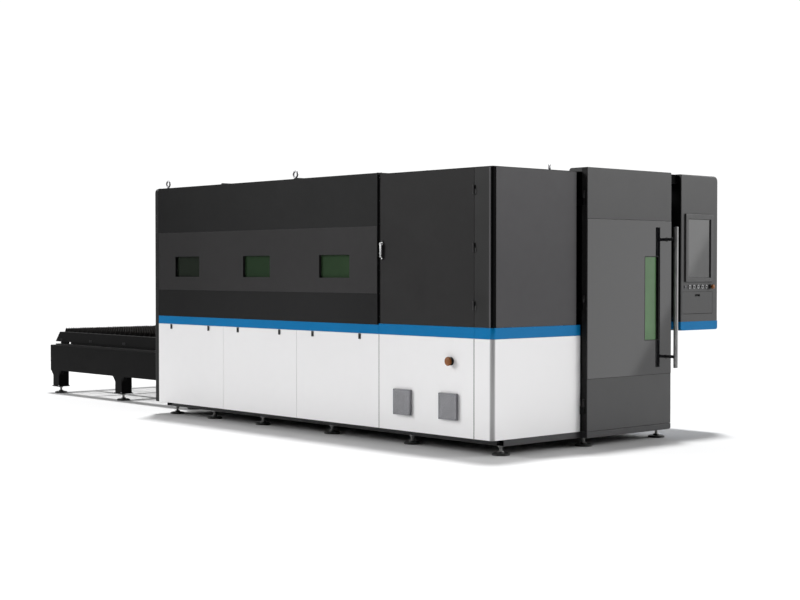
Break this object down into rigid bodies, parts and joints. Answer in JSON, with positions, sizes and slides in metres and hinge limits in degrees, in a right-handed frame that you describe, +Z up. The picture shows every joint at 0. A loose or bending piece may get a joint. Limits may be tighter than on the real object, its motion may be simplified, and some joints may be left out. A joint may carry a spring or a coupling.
{
  "type": "enclosed fiber laser cutting machine with shuttle table",
  "caption": "Enclosed sheet-metal laser cutter: white and charcoal hood with blue stripe, front door with tall pull bar, side console, green windows and a shuttle table with slatted pallets.",
  "frame": {"origin": "on the floor, under the centre of the bounding box", "axes": "+X runs out of the front door end, along the length; +Y from the windowed long side to the console side; +Z up"},
  "size_m": [7.839, 2.974, 2.2999],
  "materials": {
    "dark_sheet": "satin charcoal powder coat",
    "door_sheet": "satin dark grey powder coat",
    "door_gloss": "glossy dark grey panel",
    "cabinet_sheet": "satin charcoal powder coat",
    "console_sheet": "satin dark grey powder coat",
    "white_sheet": "satin white powder coat",
    "blue_sheet": "satin blue powder coat",
    "black_sheet": "satin black powder coat",
    "black_steel": "black structural paint",
    "slat_steel": "dark mill-scaled steel",
    "base_grey": "dark grey structural paint",
    "bed_grey": "grey structural paint",
    "frame_grey": "dark grey structural paint",
    "rail_steel": "ground steel",
    "carriage_grey": "milled aluminium",
    "head_alloy": "anodised aluminium",
    "window_green": "green laser-safe acrylic",
    "vent_plastic": "moulded grey plastic",
    "black_plastic": "moulded black plastic",
    "bristle": "black brush bristle",
    "cabinet_inner": "light grey paint and galvanised plate",
    "source_paint": "grey textured paint",
    "eye_steel": "zinc-plated forged steel",
    "zinc_sheet": "galvanised sheet",
    "bezel_black": "dark grey moulded bezel",
    "screen_glass": "dark screen, switched off",
    "motor_grey": "painted gearmotor",
    "polished_steel": "brushed stainless tube",
    "handle_chrome": "chrome-plated lever",
    "orange_button": "moulded orange-red plastic",
    "button_black": "moulded black push buttons"
  },
  "bodies": {
    "machine": {"hood_near_wall": "dark_sheet", "front_dark_panels": "dark_sheet", "roof_panels": "dark_sheet", "far_wall": "dark_sheet", "console_housing": "console_sheet", "header_cap": "console_sheet", "near_skirts": "white_sheet", "cabinet_skirt": "white_sheet", "front_skirt": "white_sheet", "far_skirt": "white_sheet", "blue_stripes": "blue_sheet", "rear_end_frame": "black_sheet", "door_frame": "black_sheet", "black_trims": "black_sheet", "fixed_hinge_halves": "black_sheet", "exchange_sides": "black_steel", "exchange_cross_beams": "black_steel", "pallet_guides": "black_steel", "base_frame": "base_grey", "levelling_feet": "base_grey", "machine_bed": "bed_grey", "hood_frame": "frame_grey", "x_rails": "rail_steel", "near_windows": "window_green", "vent_covers": "vent_plastic", "skirt_clips": "black_plastic", "control_collars": "black_plastic", "gate_curtain": "bristle", "cabinet_frame": "cabinet_inner", "electrical_plate": "cabinet_inner", "laser_source": "source_paint", "eye_bolts": "eye_steel", "dust_outlet": "zinc_sheet", "screen_bezel": "bezel_black", "display": "screen_glass", "exchange_drive": "motor_grey"},
    "front_door": {"front_door_skin": "door_sheet", "door_gloss_panel": "door_gloss", "door_window": "window_green", "door_pull_bar": "polished_steel", "door_pull_posts": "black_plastic"},
    "cabinet_door_leaf": {"cabinet_door": "cabinet_sheet"},
    "cabinet_lever": {"cabinet_handle": "handle_chrome"},
    "side_stop_button": {"estop_side": "orange_button"},
    "console_stop_button": {"estop_console": "orange_button"},
    "push_button_1": {"console_button_1": "button_black"},
    "push_button_2": {"console_button_2": "button_black"},
    "push_button_3": {"console_button_3": "button_black"},
    "push_button_4": {"console_button_4": "button_black"},
    "push_button_5": {"console_button_5": "button_black"},
    "keyboard_drawer": {"keyboard_flap": "console_sheet", "keyboard": "black_plastic"},
    "gantry": {"gantry_beam": "bed_grey"},
    "carriage": {"y_carriage": "carriage_grey"},
    "laser_head": {"cutting_head": "head_alloy"},
    "upper_pallet": {"upper_pallet_frame": "black_steel", "upper_pallet_slats": "slat_steel"},
    "lower_pallet": {"lower_pallet_frame": "black_steel", "lower_pallet_slats": "slat_steel"}
  },
  "joints": [
    {"name": "front_door_hinge", "type": "hinge", "parent": "machine", "child": "front_door", "pos_m": [3.7765, -0.436, 1.165], "axis": [0, 0, -1], "range_deg": [0, 105]},
    {"name": "cabinet_door_hinge", "type": "hinge", "parent": "machine", "child": "cabinet_door_leaf", "pos_m": [3.549, -1.451, 1.595], "axis": [0, 0, 1], "range_deg": [0, 110]},
    {"name": "cabinet_handle_turn", "type": "hinge", "parent": "cabinet_door_leaf", "child": "cabinet_lever", "pos_m": [2.4875, -1.458, 1.636], "axis": [0, -1, 0], "range_deg": [0, 90]},
    {"name": "side_stop_press", "type": "slide", "parent": "machine", "child": "side_stop_button", "axis": [0, 1, 0], "range_m": [0, 0.0035]},
    {"name": "console_stop_press", "type": "slide", "parent": "machine", "child": "console_stop_button", "axis": [-1, 0, 0], "range_m": [0, 0.0035]},
    {"name": "push_button_1_press", "type": "slide", "parent": "machine", "child": "push_button_1", "axis": [-1, 0, 0], "range_m": [0, 0.003], "stiffness_N_per_m": 400},
    {"name": "push_button_2_press", "type": "slide", "parent": "machine", "child": "push_button_2", "axis": [-1, 0, 0], "range_m": [0, 0.003], "stiffness_N_per_m": 400},
    {"name": "push_button_3_press", "type": "slide", "parent": "machine", "child": "push_button_3", "axis": [-1, 0, 0], "range_m": [0, 0.003], "stiffness_N_per_m": 400},
    {"name": "push_button_4_press", "type": "slide", "parent": "machine", "child": "push_button_4", "axis": [-1, 0, 0], "range_m": [0, 0.003], "stiffness_N_per_m": 400},
    {"name": "push_button_5_press", "type": "slide", "parent": "machine", "child": "push_button_5", "axis": [-1, 0, 0], "range_m": [0, 0.003], "stiffness_N_per_m": 400},
    {"name": "keyboard_drawer_hinge", "type": "hinge", "parent": "machine", "child": "keyboard_drawer", "pos_m": [3.744, 1.1045, 1.043], "axis": [0, 1, 0], "range_deg": [0, 85]},
    {"name": "gantry_travel", "type": "slide", "parent": "machine", "child": "gantry", "axis": [-1, 0, 0], "range_m": [0, 3.03]},
    {"name": "carriage_travel", "type": "slide", "parent": "gantry", "child": "carriage", "axis": [0, 1, 0], "range_m": [-0.75, 0.75]},
    {"name": "head_height", "type": "slide", "parent": "carriage", "child": "laser_head", "axis": [0, 0, -1], "range_m": [0, 0.15]},
    {"name": "upper_pallet_shuttle", "type": "slide", "parent": "machine", "child": "upper_pallet", "axis": [1, 0, 0], "range_m": [0, 3.215]},
    {"name": "lower_pallet_shuttle", "type": "slide", "parent": "machine", "child": "lower_pallet", "axis": [1, 0, 0], "range_m": [-3.215, 0]}
  ],
  "couplings": [
    {"joint": "lower_pallet_shuttle", "follows": "upper_pallet_shuttle", "ratio": -1}
  ]
}
